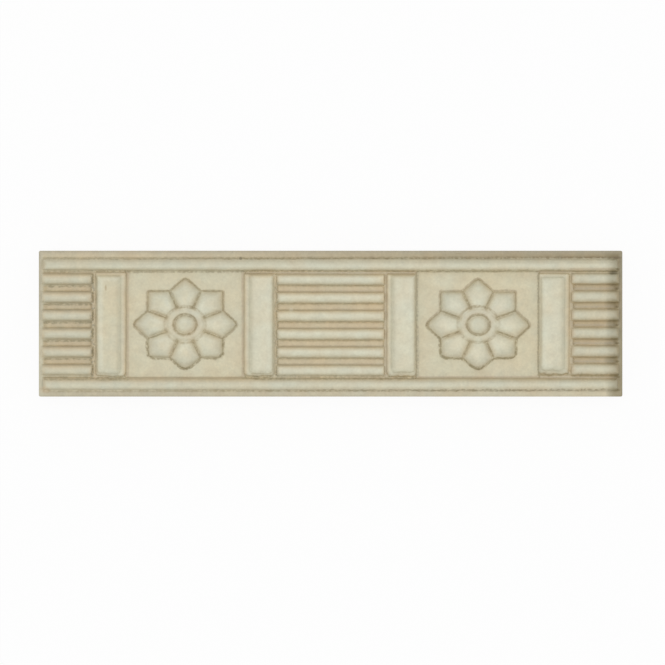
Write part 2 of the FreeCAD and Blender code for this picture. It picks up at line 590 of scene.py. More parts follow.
@dataclass
class Reeds(Form):
    """The reeded panels of six low half-round reeds. Where there are three sizes, each is for one panel."""

    plan: Plan
    height: float = 1.65
    upright: float = 0.25
    flat: float = 0.3
    feet: Triple = (0.38, 0.38, 0.56)
    leans: Triple = (0.12, 0.12, -0.25)
    rises: Triple = (0.03, 0.0, 0.58)
    under_rim: float = 0.35
    left_reach: float = 0.5
    middle_reaches: Pair = (0.35, 0.22)
    right_reach: float = 0.7
    right_stop: float = 0.15
    end_share: float = 0.3
    dullness: Triple = (0.85, 0.0, 1.0)
    dull_fade: float = 0.5
    steps: int = 6
    brims: tuple[tuple[Brim, ...], ...] = (
        (CLEAN, WIDE_GAP, REED_RAGGED), (PALE_GAP, NARROW_GAP, REED_FOOT),
        (FAINT_END, CLEAN, REED_CLEAN_FOOT))

    @property
    def spans(self) -> list[Pair]:
        """Where the reeds of each panel start and stop. The outer ends run on under the rim of the tile.

        Returns:
            The starts and stops along the pattern, from left to right.
        """
        (start, first), (second, third), (last, stop) = self.plan.reed_spans
        left, right = self.middle_reaches
        return [(start - self.under_rim, first + self.left_reach), (second - left, third + right),
                (last - self.right_reach, stop - self.right_stop)]

    def square_ends(self, piece: Piece, ends: Pair, reach: float) -> None:
        """Steepens the rounded ends of a reed in edit mode.

        Args:
            piece: The reed.
            ends: Where it ends along the pattern, in millimetres.
            reach: How far the rounding reaches in from there.
        """
        for end in ends:
            select_where(piece, "VERT", lambda vertex: abs(vertex.co.x / MM - end) < reach)
            bpy.ops.transform.resize(value=(self.end_share, 1, 1), center_override=(end * MM, 0, 0))

    def build(self) -> list[Piece]:
        """Models one reed of each length and copies it across its panel.

        Returns:
            All the reeds.
        """
        made = []
        rows = self.plan.reed_rows
        half = self.plan.reed_width / 2
        for span, foot, rise, lean in zip(self.spans, self.feet, self.rises, self.leans):
            low = (span[0], rows[0] + rise - half - foot, self.plan.root)
            first = box("reed", low, (span[1], rows[0] + rise + half, self.plan.ground + self.upright))
            crown(first, half - self.flat / 2, self.height - self.upright, self.steps, (0, lean))
            self.square_ends(first, span, half)
            made += [first] + [moved_copy(first, 0, y - rows[0]) for y in rows[1:]]
        return made

    def edges(self, points: np.ndarray) -> list[Edge]:
        """Reads points against every reed. Beside the rails the glaze pooled across the gap.

        Args:
            points: The points in the pattern, one row each.

        Returns:
            One edge for each reed.
        """
        made = []
        rows = self.plan.reed_rows
        for (start, stop), foot, rise, sides in zip(self.spans, self.feet, self.rises, self.brims):
            left, right, lower = sides
            half = ((stop - start) / 2, (self.plan.reed_width + foot) / 2)
            for y in rows:
                brims = (left, right, LOW_GAP if y == rows[0] else lower, TOP_GAP if y == rows[-1] else CRISP)
                made.append(edge_of_box(points, ((start + stop) / 2, y + rise - foot / 2), half, brims))
        return made

    def tone_and_painted_light(self, points: np.ndarray) -> np.ndarray:
        """The end panels are duller than the middle one."""
        edge = self.plan.field_edge
        return -np.sum([shade * share(depth_in_box(points, (start, -edge), (stop, edge)), 0, self.dull_fade)
                        for (start, stop), shade in zip(self.spans, self.dullness)], axis=0)


@dataclass(frozen=True)
class Cut:
    """How one bar was cut in the mould, in millimetres.

    Attributes:
        ledge: The side that its ledge is on.
        left: How far its foot reaches out past its even outline on the left.
        right: How far it does on the right.
        lower: How far it does at its lower end.
        upper: How far it does at its upper end.
        shelf: How far its crown stops short of its even lower end.
        top: How far its crown stops short of its upper end.
        brims: How the glaze lies along its left and right sides.
    """

    ledge: Side
    left: float
    right: float
    lower: float
    upper: float
    shelf: float
    top: float
    brims: tuple[Brim, Brim]


@dataclass
class Bars(Form):
    """The four raised bars, each a block with a crown that leaves a ledge along one side and both ends.

    Each triple is a painted shade, or on the far shoulder a painted highlight: how far in it lies, over what
    reach it fades, and its strength.
    """

    plan: Plan
    block_height: float = 1.4
    block_round: float = 0.4
    crown_rise: float = 0.95
    crown_round: float = 1.15
    crown_lean: float = 0.2
    crown_inset: float = 0.25
    side_ledge: float = 0.95
    lower_corner: float = 0.9
    upper_corner: float = 0.25
    # Painted shade on the slope beside the ledge and above the lower shelf, and a painted highlight on the
    # far shoulder
    shade_beside_ledge: Triple = (1.7, 1.0, 0.9)
    highlight_on_shoulder: Triple = (1.6, 1.4, 0.4)
    dullness: float = 0.25
    shelf_shade: Triple = (0.5, 0.8, 0.8)
    torn_side: float = 0.6
    torn_reach: float = 1.6
    block_steps: int = 3
    crown_steps: int = 7
    cuts: tuple[Cut, ...] = (
        Cut(Side.RIGHT, 0.1, 0.3, 0.4, 0.3, 0.2, 0.9, (BAR_WIDE_GAP, BAR_LEDGE)),
        Cut(Side.LEFT, 0.3, 0.15, 0.3, 0.0, 0.3, 0.3, (BAR_LEDGE, BAR_NARROW_GAP)),
        Cut(Side.LEFT, 0.15, 0.05, 0.25, 0.0, 0.7, 0.3, (BAR_LEDGE, BAR_FLANK)),
        Cut(Side.RIGHT, 0.28, 0.15, -0.25, 0.25, 1.3, 0.95, (BAR_SHARP, BAR_END_GAP)))

    def ease(self, piece: Piece) -> None:
        """Rounds a bar's lower corners well and its upper corners little, as the clay left the mould."""
        ease_corners(piece, self.lower_corner, lambda place: place.y < 0)
        ease_corners(piece, self.upper_corner, lambda place: place.y > 0)

    def bar(self, x: float, cut: Cut) -> Piece:
        """Models one bar.

        Args:
            x: Its middle along the pattern.
            cut: How it was cut in the mould.

        Returns:
            The bar.
        """
        plan = self.plan
        half, tall = plan.bar_width / 2, plan.field_half
        top = plan.ground + self.block_height
        block = box("bar", (x - half - cut.left, -tall - cut.lower, plan.root),
                    (x + half + cut.right, tall + cut.upper, top - self.block_round))
        crown(block, self.block_round, self.block_round, self.block_steps)
        self.ease(block)
        near, far = half - self.crown_inset, half - self.side_ledge
        left, right = (near, far) if cut.ledge is Side.RIGHT else (far, near)
        cap = box("bar_crown", (x - left, cut.shelf - tall, plan.ground),
                  (x + right, tall + cut.upper - cut.top, top))
        lean = -cut.ledge.value * self.crown_lean
        crown(cap, self.crown_round, self.crown_rise, self.crown_steps, (lean, 0))
        self.ease(cap)
        return join([block, cap], "bar")

    def build(self) -> list[Piece]:
        """Models all four bars."""
        return [self.bar(x, cut) for x, cut in zip(self.plan.bar_places, self.cuts)]

    def edges(self, points: np.ndarray) -> list[Edge]:
        """Reads points against the bars.

        Args:
            points: The points in the pattern, one row each.

        Returns:
            One edge for each bar.
        """
        made = []
        for x, cut in zip(self.plan.bar_places, self.cuts):
            middle = (x + (cut.right - cut.left) / 2, (cut.upper - cut.lower) / 2)
            half = ((self.plan.bar_width + cut.left + cut.right) / 2,
                    self.plan.field_half + (cut.lower + cut.upper) / 2)
            made.append(edge_of_box(points, middle, half, (*cut.brims, LOW_GAP, TOP_GAP)))
        return made

    def tone_and_painted_light(self, points: np.ndarray) -> np.ndarray:
        """Paints shade on each bar's ledge side and above its lower shelf, and a highlight on its far
        shoulder.

        Args:
            points: The points in the pattern, one row each.

        Returns:
            How much paler each of them is painted.
        """
        made = np.zeros(len(points))
        half, tall = self.plan.bar_width / 2, self.plan.field_half
        slope_in, slope_reach, slope_shade = self.shade_beside_ledge
        shoulder_in, shoulder_reach, shoulder_highlight = self.highlight_on_shoulder
        shelf_top, shelf_fade, shelf_shade = self.shelf_shade
        for x, cut in zip(self.plan.bar_places, self.cuts):
            across = (points[:, 0] - x) * cut.ledge.value
            on_bar = (np.abs(across) < half) & (np.abs(points[:, 1]) < tall)
            slope = np.clip(1 - np.abs(across - (half - slope_in)) / slope_reach, 0, 1) * slope_shade
            shoulder = np.clip(1 - np.abs(across + (half - shoulder_in)) / shoulder_reach, 0, 1)
            shelf = share(-points[:, 1] - tall, -cut.shelf - shelf_top, shelf_fade) * shelf_shade
            made += on_bar * (shoulder * shoulder_highlight - self.dullness - np.maximum(slope, shelf))
        return made

    def lumps(self, points: np.ndarray) -> np.ndarray:
        """Finds where the lower end of each bar tore as it left the mould.

        Args:
            points: The points in the pattern, one row each.

        Returns:
            How lumpy the clay is at each of them, from 0 to 1.
        """
        made = np.zeros(len(points))
        for x, cut in zip(self.plan.bar_places, self.cuts):
            across = np.abs(points[:, 0] - x)
            away = np.abs(points[:, 1] + self.plan.field_half + cut.lower)
            made += (share(-across, -self.plan.bar_width / 2 - self.torn_side, self.torn_side)
                     * np.clip(self.torn_reach - away, 0, 1))
        return np.clip(made, 0, 1)


@dataclass
class Pools(Form):
    """The glaze that filled the narrow gaps, beside the rails in the reeded panels and round the bars."""

    plan: Plan
    depth: float = 0.65
    eased: float = 0.15
    overlap: float = 0.3
    steps: int = 2

    def pool(self, low: Pair, high: Pair) -> Piece:
        """Models one pool.

        Args:
            low: Its lower left corner in the pattern.
            high: Its upper right corner in the pattern.

        Returns:
            The pool.
        """
        piece = box("pool", (*low, self.plan.root), (*high, self.plan.ground + self.depth - self.eased))
        crown(piece, self.eased, self.eased, self.steps)
        return piece

    def build(self) -> list[Piece]:
        """Models the pools beside the rails, and one under each bar that shows round its foot.

        Returns:
            All the pools.
        """
        plan = self.plan
        far, near, half = plan.field_edge + self.overlap, plan.field_half - self.overlap, plan.bar_width / 2
        made = [self.pool((start, low), (stop, high))
                for start, stop in plan.reed_spans for low, high in ((-far, -near), (near, far))]
        end, inner = plan.end_reed_to_bar, plan.reed_to_bar
        reaches = ((end, 0), (0, inner), (inner, 0), (0, end))
        for x, (left, right) in zip(plan.bar_places, reaches):
            made.append(self.pool((x - half - left, -far), (x + half + right, far)))
        return made


@dataclass
class PetalView:
    """Points as the nearest petal of a rosette sees them, with the rosette's stretch undone, in millimetres.

    Attributes:
        local: Their places from the middle of the rosette.
        radius: How far they are from that middle.
        turn: How far that petal is turned from the upper one.
        across: How far they are to the side of its axis.
        slope: How far they are outside its outer sides, before its tip is rounded.
        flank: How far they are outside its inner sides.
        along: How far out they are along its axis.
    """

    local: np.ndarray
    radius: np.ndarray
    turn: np.ndarray
    across: np.ndarray
    slope: np.ndarray
    flank: np.ndarray
    along: np.ndarray


@dataclass
class Rosettes(Form):
    """The two rosettes: eight cushioned petals round a ring and a boss.

    Tips has the radius of each petal's tip as seen from above, from the upper petal on and counterclockwise.
    """

    plan: Plan
    petals: int = 8
    petal_gap: float = 0.3
    petal_height: float = 1.65
    petal_upright: float = 0.4
    petal_round: float = 2.2
    petal_lean: float = 0.9
    petal_start: float = 4.25
    tips: tuple[float, ...] = (0.9, 0.4, 1.2, 1.3, 1.9, 1.3, 0.9, 0.4)
    tip_blend: float = 1.66
    tip_cuts: tuple[float, ...] = (-1, -0.5, 0, 0.5, 1)
    tip_margin: float = 0.2
    petal_steps: int = 8
    ring_steps: int = 5
    groove_steps: int = 4
    boss_steps: int = 7
    disc_sides: int = 72
    bed_rise: float = 0.5
    ring_radius: float = 4.5
    ring_width: float = 1.9
    ring_upright: float = 1.0
    ring_height: float = 1.6
    ring_round: float = 0.6
    groove_round: float = 0.3
    groove_level: float = 0.9
    boss_gap: float = 0.2
    boss_height: float = 1.7
    boss_round: float = 1.7
    gap_line: float = 0.33
    groove_line: Pair = (2.62, 0.50)
    ring_line: Pair = (4.72, 0.50)
    ring_stains: Triple = (0.35, 0.2, 0.3)
    lower_crawl: Pair = (1.5, -0.1)
    crawl_limits: Pair = (0.15, 0.5)
    # Painted highlight where each petal swells most, a little below its axis, and painted shade over the rest
    # of the petal and at its tip
    pillow: float = 6.5
    pillow_size: float = 1.25
    pillow_drop: float = 0.5
    pillow_highlight_and_shade: Pair = (1.05, 0.62)
    tip_shade: Triple = (8.0, 2.0, 0.2)
    heart_shade: float = 0.6
    shade_fade: float = 0.4

    @property
    def slant(self) -> float:
        """Half the angle that one petal takes."""
        return math.pi / self.petals

    @property
    def half_side(self) -> float:
        """Half the side of the two crossed squares."""
        return self.plan.tip_y * math.cos(2 * self.slant)

    def petal(self, tip_round: float) -> Piece:
        """Models the upper petal: a block cut to its five sides, cushioned, and rounded at its tip.

        Args:
            tip_round: The radius of its tip as seen from above.

        Returns:
            The petal.
        """
        tip = self.plan.tip_y
        piece = box("petal", (-tip, self.petal_start, self.plan.root),
                    (tip, tip, self.plan.ground + self.petal_upright))
        for side in (-1, 1):
            flank = Vector((side * math.cos(self.slant), -math.sin(self.slant), 0))
            slope = Vector((side * math.sin(2 * self.slant), math.cos(2 * self.slant), 0))
            for normal, reach in ((flank, -self.petal_gap / 2), (slope, self.half_side)):
                bpy.ops.mesh.select_all(action="SELECT")
                bpy.ops.mesh.bisect(plane_co=normal * reach * MM, plane_no=normal, use_fill=True,
                                    clear_outer=True)
        rise = self.petal_height - self.petal_upright
        crown(piece, self.petal_round, rise, self.petal_steps, (0, -self.petal_lean))
        middle = Vector((0, tip - tip_round / math.cos(2 * self.slant), 0))
        for part in self.tip_cuts:
            normal = Vector((math.sin(part * self.slant), math.cos(part * self.slant), 0))
            bpy.ops.mesh.select_all(action="SELECT")
            bpy.ops.mesh.bisect(plane_co=(middle + normal * tip_round) * MM, plane_no=normal,
                                clear_outer=True)
            bpy.ops.mesh.select_all(action="SELECT")
            bpy.ops.mesh.fill_holes(sides=0)
        return piece

    def disc(self, name: str, radius: float, rise: float) -> Piece:
        """An upright round block on the root of the relief, left in edit mode.

        Args:
            name: The name of the object.
            radius: Its radius in millimetres.
            rise: How far its top stands above the ground.

        Returns:
            The block.
        """
        deselect_all()
        low, high = self.plan.root, self.plan.ground + rise
        bpy.ops.mesh.primitive_cylinder_add(vertices=self.disc_sides, radius=radius * MM,
                                            depth=(high - low) * MM, location=(0, 0, (low + high) / 2 * MM))
        piece = settle(bpy.context.object)
        piece.name = name
        bpy.ops.object.mode_set(mode="EDIT")
        return piece

    def heart(self) -> list[Piece]:
        """Models the bed that closes the gaps between petals, and the ring and boss from one block.

        Returns:
            The bed, and the ring with the boss.
        """
        bed = self.disc("petal_bed", self.half_side, self.bed_rise)
        ring = self.disc("ring", self.ring_radius, self.ring_upright)
        crown(ring, self.ring_round, self.ring_height - self.ring_upright, self.ring_steps)
        flat = self.ring_width - self.ring_round - self.groove_round
        bpy.ops.mesh.inset(thickness=flat * MM, depth=0)
        sweep(self.groove_round, self.groove_level - self.ring_height, self.groove_steps, steep_first=False)
        bpy.ops.mesh.inset(thickness=self.boss_gap * MM, depth=0)
        sweep(self.boss_round, self.boss_height - self.groove_level, self.boss_steps)
        return [bed, ring]

    def build(self) -> list[Piece]:
        """Models one rosette, turns its petals round, stretches the whole and copies it.

        Returns:
            Both rosettes.
        """
        kinds = {tip: self.petal(tip) for tip in sorted(set(self.tips))}
        pieces = []
        for number, tip in enumerate(self.tips):
            piece = copy_of(kinds[tip])
            bpy.ops.transform.rotate(value=2 * self.slant * number, orient_axis="Z", center_override=NOWHERE)
            pieces.append(settle(piece))
        flower = join(pieces + self.heart(), "rosette")
        work_on(flower)
        bpy.ops.transform.resize(value=(self.plan.rosette_stretch, 1, 1), center_override=NOWHERE)
        made = [moved_copy(settle(flower), x, y) for x, y in self.plan.rosette_places]
        for pattern in (flower, *kinds.values()):
            bpy.data.objects.remove(pattern)
        return made

    def view(self, points: np.ndarray, place: Pair) -> PetalView:
        """Finds how the nearest petal of a rosette sees points in the pattern.

        Args:
            points: The points, one row each.
            place: The middle of the rosette.

        Returns:
            The points as that petal sees them.
        """
        local = (points - np.array(place)) / np.array((self.plan.rosette_stretch, 1))
        radius = np.linalg.norm(local, axis=1)
        angle = np.arctan2(-local[:, 0], local[:, 1])
        turn = np.round(angle / (2 * self.slant)) * 2 * self.slant
        folded = np.abs(angle - turn)
        across, along = radius * np.sin(folded), radius * np.cos(folded)
        slope = across * math.sin(2 * self.slant) + along * math.cos(2 * self.slant) - self.half_side
        flank = across * math.cos(self.slant) - along * math.sin(self.slant)
        return PetalView(local, radius, turn, across, slope, flank, along)

    def petal_edge(self, seen: PetalView) -> Edge:
        """Reads points against the nearest petal. Its glaze crawled the more the lower it lies.

        Args:
            seen: The points as it sees them.

        Returns:
            The edge of the petal.
        """
        number = np.round(seen.turn / (2 * self.slant)).astype(int) % self.petals
        blend = self.tip_blend * np.array(self.tips)[number]
        nearness = np.maximum(1 - 2 * seen.across * math.sin(2 * self.slant) / blend, 0)
        slope = seen.slope + nearness ** 2 * blend / 4
        flank = seen.flank + self.petal_gap / 2
        made = edge_along(np.maximum(slope, flank), (PETAL_CRISP, PETAL_CRAWLED), (seen.local[:, 1] < 0) * 1)
        gain, offset = self.lower_crawl
        feel = np.clip(-seen.local[:, 1] / np.maximum(seen.radius, TINY) * gain + offset, *self.crawl_limits)
        made.feel = np.where(slope > flank, feel, Feel.BROKEN.value)
        made.line = np.where(slope > flank, made.line, seen.flank / self.gap_line)
        return made

    def edges(self, points: np.ndarray) -> list[Edge]:
        """Reads points against the petals with the ring, the boss and the line round the ring.

        Args:
            points: The points in the pattern, one row each.

        Returns:
            Those three edges for each rosette.
        """
        made = []
        even, both, upper = self.ring_stains
        middle = self.ring_radius - self.ring_width - self.boss_gap / 2
        for place in self.plan.rosette_places:
            seen = self.view(points, place)
            petal = self.petal_edge(seen)
            ring = seen.radius - self.ring_radius
            petal.line = np.where(ring < petal.distance, FAR, petal.line)
            petal.distance = np.minimum(petal.distance, ring)
            upward = seen.local[:, 1] / np.maximum(seen.radius, TINY)
            whole = np.ones_like(ring)
            broken = Feel.BROKEN.value * whole
            groove, outside = ((seen.radius - out) / half for out, half in (self.groove_line, self.ring_line))
            stains = even + both * np.abs(upward) + upper * np.maximum(upward, 0)
            made += [petal, Edge(self.boss_gap / 2 - np.abs(seen.radius - middle), groove, broken, whole),
                     Edge(FAR * whole, outside, broken, stains)]
        return made

    def tone_and_painted_light(self, points: np.ndarray) -> np.ndarray:
        """Paints a highlight where each petal swells most, and shade over the rest of it and at its tip. Ring
        and boss are dull.

        Args:
            points: The points in the pattern, one row each.

        Returns:
            How much paler each of them is painted.
        """
        made = np.zeros(len(points))
        pale, dull = self.pillow_highlight_and_shade
        tip_start, tip_fade, tip_shade = self.tip_shade
        for place in self.plan.rosette_places:
            seen = self.view(points, place)
            axis = np.column_stack((-np.sin(seen.turn), np.cos(seen.turn)))
            pillow = axis * self.pillow - np.array((0, self.pillow_drop))
            swell = np.exp(-(np.linalg.norm(seen.local - pillow, axis=1) / self.pillow_size) ** 2 / 2)
            tip = share(seen.along, tip_start, tip_fade) * (seen.slope < self.tip_margin)
            inside = (share(-seen.slope, 0, self.shade_fade)
                      * share(seen.radius, self.ring_radius, self.shade_fade))
            heart = share(-seen.radius, -self.ring_radius, self.shade_fade)
            made += inside * (swell * pale - dull) - tip * tip_shade - heart * self.heart_shade
        return made


@dataclass
class Slab:
    """The body of the tile: the ground, the margin round it and the recesses in its back."""

    plan: Plan
    corner: float = 0.25
    arris: float = 0.3
    end_slope: float = 1.1
    back_arris: float = 0.4
    back_draft: float = 0.6
    square_edge: float = 2.5
    key_rows: tuple[float, ...] = (-1.5, -0.5, 0.5, 1.5)
    key_width: float = 5.0
    key_depth: float = 0.8
    key_draft: float = 0.5
    key_land: float = 3.0
    key_end_land: float = 7.0
    arris_steps: int = 3
    clearance: float = 0.01

    def body(self) -> Piece:
        """Models the slab: a box drawn in at the back, with eased arrises and corners.

        Returns:
            The slab.
        """
        plan = self.plan
        x, y, face = plan.length / 2, plan.width / 2, plan.ground + plan.margin_rise
        piece = box("slab", (-x, -y, 0), (x, y, face))
        bpy.ops.mesh.select_all(action="SELECT")
        bpy.ops.mesh.bisect(plane_co=(0, 0, (face - self.square_edge) * MM), plane_no=UP)
        select_faces(piece, DOWN)
        bpy.ops.transform.resize(value=(1 - self.back_draft / x, 1 - self.back_draft / y, 1),
                                 center_override=NOWHERE)
        for way, arris in ((DOWN, self.back_arris), (UP, self.arris)):
            select_faces(piece, way)
            bpy.ops.mesh.bevel(offset=arris * MM, segments=self.arris_steps, affect="EDGES")
        ease_corners(piece, self.corner, lambda place: True)
        bpy.ops.object.mode_set(mode="OBJECT")
        return piece

    def keys(self) -> list[Piece]:
        """Models the forms that press the long recesses into the back.

        Returns:
            One form for each recess.
        """
        x, half = self.plan.length / 2 - self.key_end_land, self.key_width / 2
        made = []
        for row in self.key_rows:
            y = row * (self.key_width + self.key_land)
            key = box("key", (-x, y - half, -self.key_depth), (x, y + half, self.key_depth))
            select_faces(key, UP)
            bpy.ops.transform.resize(value=(1 - self.key_draft / x, 1 - self.key_draft / half, 1),
                                     center_override=(0, y * MM, 0))
            made.append(key)
        return made

    def build(self) -> Piece:
        """Models the slab, its face sunk to the ground inside the margin, with the recesses in its back.

        Returns:
            The slab.
        """
        plan = self.plan
        piece = self.body()
        over = plan.ground + plan.margin_rise + self.clearance
        sunk = box("sunk_field", (-plan.pattern_end, -plan.rail_y, plan.ground),
                   (plan.pattern_end - plan.right_trim, plan.rail_y, over))
        select_faces(sunk, DOWN)
        bpy.ops.transform.resize(value=(1 - self.end_slope / plan.pattern_end, 1, 1), center_override=NOWHERE)
        presses = join(self.keys() + [plan.lay(sunk)], "presses")
        apply_modifier(piece, "BOOLEAN", object=presses, operation="DIFFERENCE", solver="EXACT")
        bpy.data.objects.remove(presses)
        return piece


@dataclass(frozen=True)
class Wave:
    """One way in which the skin of the tile is uneven.

    Attributes:
        name: What it is.
        way: The way in which it moves the skin.
        size: The size of its lumps, in millimetres.
        strength: How far it moves the skin, from its lowest to its highest, in millimetres.
        where: The part of the skin that it moves.
    """

    name: str
    way: str
    size: float
    strength: float
    where: str

    def texture(self) -> bpy.types.Texture:
        """Makes the cloud pattern that it follows.

        Returns:
            The pattern.
        """
        made = bpy.data.textures.new(self.name, "CLOUDS")
        made.noise_scale = self.size * MM
        made.noise_depth = 2
        return made


@dataclass
class Tile:
    """The whole tile: the slab and its relief pressed into one skin.

    Each of the skin's stretches is told apart by a start and a reach, in millimetres.
    """

    plan: Plan
    voxel: float = 0.2
    most_triangles: int = 185000
    softening: int = 5
    raised_from: Pair = (-0.5, 0.5)
    relief_from: Pair = (0.3, 0.6)
    face_from: Pair = (0.5, 1.5)
    grain_reach: Pair = (-0.1, 0.55)
    pool_from: Pair = (-0.2, 0.4)
    levels: int = 10
    waves: tuple[Wave, ...] = (
        Wave("wander", "Y", 9.0, 0.10, "face"), Wave("sway", "X", 7.0, 0.14, "face"),
        Wave("swell", "Z", 5.0, 0.10, "face"), Wave("tear", "Y", 1.5, 0.7, "torn"),
        Wave("grain", "NORMAL", 0.75, 0.20, "grains"))
    parts: list[Form] = field(default_factory=list)

    def __post_init__(self) -> None:
        """Lays out the forms of the relief."""
        self.parts = [kind(self.plan) for kind in (Rails, Reeds, Bars, Pools, Rosettes)]

    def pooled(self, points: np.ndarray) -> np.ndarray:
        """Finds where the glaze pooled brown on the ground: in the reeded panels and at the ends of the bars.

        Args:
            points: The places of the points in the pattern.

        Returns:
            From 0 on clear ground to 1 where it pooled.
        """
        edge, half = self.plan.field_edge, self.plan.bar_width / 2
        stretches = self.plan.panels + [(x - half, x + half) for x in self.plan.bar_places]
        depth = np.max([depth_in_box(points, (start, -edge), (stop, edge)) for start, stop in stretches],
                       axis=0)
        return share(depth, *self.pool_from)

    def read_pattern(self, piece: Piece) -> Reading:
        """Finds where every point of a mesh lies in the pattern.

        Args:
            piece: The mesh.

        Returns:
            By name: the distance out from the nearest edge in millimetres, the distance from the middle of
            the nearest brown line in half widths of that line, how crawled the glaze is at each of them, how
            stained the line is, how far the glaze pooled there, how far the point is out on the margin in
            millimetres, how deep it lies inside the outline of the tile, how much paler it is painted for
            glaze tone and as painted highlight and shade, how lumpy the clay is, and the level of the point
            above the ground.
        """
        count = len(piece.data.vertices)
        places = np.empty(count * 3, np.float32)
        piece.data.vertices.foreach_get("co", places)
        places = places.reshape(-1, 3) / MM
        plan = self.plan
        points = plan.seen_from_pattern(places[:, :2])
        edges = [edge for part in self.parts for edge in part.edges(points)]
        distances, lines, feels, stains = (np.stack([getattr(edge, name) for edge in edges])
                                           for name in ("distance", "line", "feel", "stain"))
        rows = np.arange(count)
        nearest = (np.argmin(np.abs(distances), axis=0), rows)
        stained = (np.argmin(np.abs(lines), axis=0), rows)
        end, side = plan.pattern_end, plan.rail_y + plan.rail_width / 2
        half = (plan.length / 2, plan.width / 2)
        return {"rim": distances[nearest],
                "line": np.minimum(np.abs(lines[stained]), 2),
                "crawl": feels[nearest],
                "line_crawl": feels[stained],
                "stain": stains[stained],
                "pool": self.pooled(points),
                "margin": -depth_in_box(points, (-end, -side), (end - plan.right_trim, side)),
                "inland": depth_in_box(places[:, :2], (-half[0], -half[1]), half),
                "pale_tone_and_highlight": np.sum([part.tone_and_painted_light(points) for part in self.parts], axis=0),
                "lumps": np.sum([part.lumps(points) for part in self.parts], axis=0),
                "level": places[:, 2] - plan.ground}

    def press(self) -> Piece:
        """Models every form and presses all of them into one closed skin.

        Returns:
            The tile, before it is roughened.
        """
        pieces = [Slab(self.plan).build()]
        for part in self.parts:
            built = part.build()
            pieces.append(self.plan.lay(join(built, type(part).__name__.lower())))
            log.info("%s: %d forms", pieces[-1].name, len(built))
        tile = join(pieces, "glazed_tile")
        apply_modifier(tile, "REMESH", mode="VOXEL", voxel_size=self.voxel * MM, use_smooth_shade=True)
        return tile

    def roughen(self, tile: Piece, reading: Reading) -> None:
        """Softens the skin, and gives it the slow waves of pressed clay and the grains of crawled glaze.

        Args:
            tile: The pressed tile.
            reading: Where its points lie.
        """
        raised = share(reading["level"], *self.raised_from)
        face = raised * share(reading["inland"], *self.face_from)
        middle, reach = self.grain_reach
        near = np.clip(1 - np.abs(reading["rim"] - middle) / reach, 0, 1)
        weights = {"relief": raised * share(reading["inland"], *self.relief_from), "face": face,
                   "grains": near * face * np.clip(reading["crawl"], 0, 1), "torn": face * reading["lumps"]}
        for name, weight in weights.items():
            group = tile.vertex_groups.new(name=name)
            levels = np.round(weight * self.levels).astype(int)
            for level in range(1, self.levels + 1):
                group.add(np.flatnonzero(levels == level).tolist(), level / self.levels, "REPLACE")
        apply_modifier(tile, "SMOOTH", factor=0.5, iterations=1)
        apply_modifier(tile, "SMOOTH", factor=0.5, iterations=self.softening, vertex_group="relief")
        for wave in self.waves:
            apply_modifier(tile, "DISPLACE", texture=wave.texture(), texture_coords="LOCAL",
                           direction=wave.way, strength=wave.strength * MM, mid_level=0.5,
                           vertex_group=wave.where)

    def build(self) -> Piece:
        """Models the finished tile, and writes onto it where each point lies in the pattern.

        Returns:
            The tile, one closed mesh at the origin.
        """
        tile = self.press()
        reading = self.read_pattern(tile)
        for name in FIELDS:
            attribute = tile.data.attributes.new(name, "FLOAT", "POINT")
            attribute.data.foreach_set("value", reading[name].astype(np.float32))
        self.roughen(tile, reading)
        triangles = 2 * len(tile.data.polygons)
        if triangles > self.most_triangles:
            apply_modifier(tile, "DECIMATE", ratio=self.most_triangles / triangles)
        log.info("skin thinned from %d to %d triangles", triangles, len(tile.data.polygons))
        tile.vertex_groups.clear()
        work_on(tile)
        bpy.ops.object.shade_smooth()
        return tile


def linear(colour: str) -> tuple[float, ...]:
    """Turns an sRGB hex colour to linear light.

    Args:
        colour: Such as "#CDC5AB".

    Returns:
        Red, green, blue and an alpha of one.
    """
    values = [int(colour[n:n + 2], 16) / 255 for n in (1, 3, 5)]
    return (*(v / 12.92 if v <= 0.04045 else ((v + 0.055) / 1.055) ** 2.4 for v in values), 1.0)


@dataclass(frozen=True)
class Ramp:
    """A share that follows a value of a material.

    Attributes:
        source: The name of the value.
        start: The value at which the share starts.
        stop: The value at which it ends.
        low: The share at the start.
        high: The share at the end.
        curve: How it gets from one to the other.
    """

    source: str
    start: float
    stop: float
    low: float = 0.0
    high: float = 1.0
    curve: str = "LINEAR"


@dataclass
class Recipe:
    """The nodes of one material, with results kept by name. A ramp is made when it is first asked for."""

    tree: bpy.types.NodeTree
    ramps: dict[str, Ramp] = field(default_factory=dict)
    results: dict[str, bpy.types.NodeSocket] = field(default_factory=dict)

    def result(self, name: str) -> bpy.types.NodeSocket:
        """Finds a result by its name.

        Args:
            name: The name.

        Returns:
            The socket that gives it.
        """
        if name not in self.results:
            ramp = self.ramps[name]
            self.add(name, "MapRange", {"Value": ramp.source, "From Min": ramp.start, "From Max": ramp.stop,
                                        "To Min": ramp.low, "To Max": ramp.high},
                     interpolation_type=ramp.curve)
        return self.results[name]

    def add(self, name: str, kind: str, inputs: dict[int | str, object] | None = None, output: int | str = 0,
            **settings: object) -> None:
        """Adds a node and keeps its result.

        Args:
            name: The name of the result.
            kind: The node's type, without the words that every shader node's type starts with.
            inputs: A value, a hex colour or the name of a result, by the name or number of its input.
            output: The output that gives the result.
            settings: The node's own settings, by name.
        """
        made = self.tree.nodes.new("ShaderNode" + kind)
        for key, value in settings.items():
            setattr(made, key, value)
        for key, value in (inputs or {}).items():
            if not isinstance(value, str):
                made.inputs[key].default_value = value
            elif value.startswith("#"):
                made.inputs[key].default_value = linear(value)
            else:
                self.tree.links.new(self.result(value), made.inputs[key])
        if made.outputs:
            self.results[name] = made.outputs[output]


@dataclass(frozen=True)
class Mark:
    """One small flaw in the glaze.

    Attributes:
        place: Where it is on the tile, in millimetres.
        size: Half its width and half its height, in millimetres.
        colour: Its colour.
        strength: How strong it is, from 0 to 1.
    """

    place: Pair
    size: Pair
    colour: str
    strength: float


